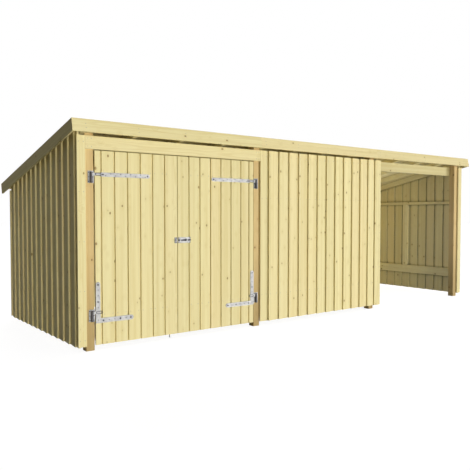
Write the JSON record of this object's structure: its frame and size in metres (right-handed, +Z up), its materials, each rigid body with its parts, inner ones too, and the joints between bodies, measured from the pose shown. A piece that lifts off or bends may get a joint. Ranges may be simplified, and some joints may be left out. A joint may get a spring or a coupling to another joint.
{
  "type": "open-front garden shed",
  "caption": "Timber garden shed with a boarded room behind a pair of ledged doors, an open-front bay beside it and a mono-pitch roof falling to the back.",
  "frame": {"origin": "on the ground, under the middle of the roof", "axes": "+X along the front from the door bay to the open bay, +Y from the front to the back, +Z up"},
  "size_m": [6.515, 2.364, 2.1872],
  "materials": {
    "board_wood": "pale pressure-treated softwood, planed",
    "post_wood": "brownish pressure-treated softwood, sawn",
    "roof_felt": "matt mineral roofing felt",
    "zinc_steel": "hot-dip zinc plated"
  },
  "bodies": {
    "shed": {"front_post_left": "post_wood", "front_post_door": "post_wood", "front_post_middle": "post_wood", "front_post_right": "post_wood", "back_post_left": "post_wood", "back_post_door": "post_wood", "back_post_middle": "post_wood", "back_post_right": "post_wood", "front_beam": "board_wood", "back_beam": "board_wood", "rafters": "board_wood", "roof_deck": "board_wood", "roof_felt": "roof_felt", "front_fascia": "board_wood", "back_fascia": "board_wood", "left_barge_board": "board_wood", "right_barge_board": "board_wood", "left_wall": "board_wood", "partition_wall": "board_wood", "right_wall": "board_wood", "front_wall": "board_wood", "back_wall": "board_wood", "left_wall_rails": "board_wood", "partition_rails": "board_wood", "right_wall_rails": "board_wood", "front_wall_rails": "board_wood", "back_wall_rails": "board_wood", "left_trim": "board_wood", "middle_trim": "board_wood", "right_trim": "board_wood", "back_trims": "board_wood", "door_header": "board_wood", "left_hinge_plates": "zinc_steel", "right_hinge_plates": "zinc_steel"},
    "left_door": {"left_door_boards": "board_wood", "left_door_ledges": "board_wood", "left_door_straps": "zinc_steel", "latch_keeper": "zinc_steel", "drop_bolt_guides": "zinc_steel"},
    "right_door": {"right_door_boards": "board_wood", "right_door_ledges": "board_wood", "right_door_straps": "zinc_steel", "latch_guides": "zinc_steel"},
    "drop_bolt": {"drop_bolt_rod": "zinc_steel"},
    "latch": {"latch_bolt": "zinc_steel"}
  },
  "joints": [
    {"name": "left_door_swing", "type": "hinge", "parent": "shed", "child": "left_door", "pos_m": [-3.045, -1.091, 1], "axis": [0, 0, -1], "range_deg": [0, 150]},
    {"name": "right_door_swing", "type": "hinge", "parent": "shed", "child": "right_door", "pos_m": [-1.035, -1.091, 1], "axis": [0, 0, 1], "range_deg": [0, 150]},
    {"name": "drop_bolt_slide", "type": "slide", "parent": "left_door", "child": "drop_bolt", "axis": [0, 0, 1], "range_m": [0, 0.06]},
    {"name": "latch_slide", "type": "slide", "parent": "right_door", "child": "latch", "axis": [-1, 0, 0], "range_m": [0, 0.035]}
  ]
}
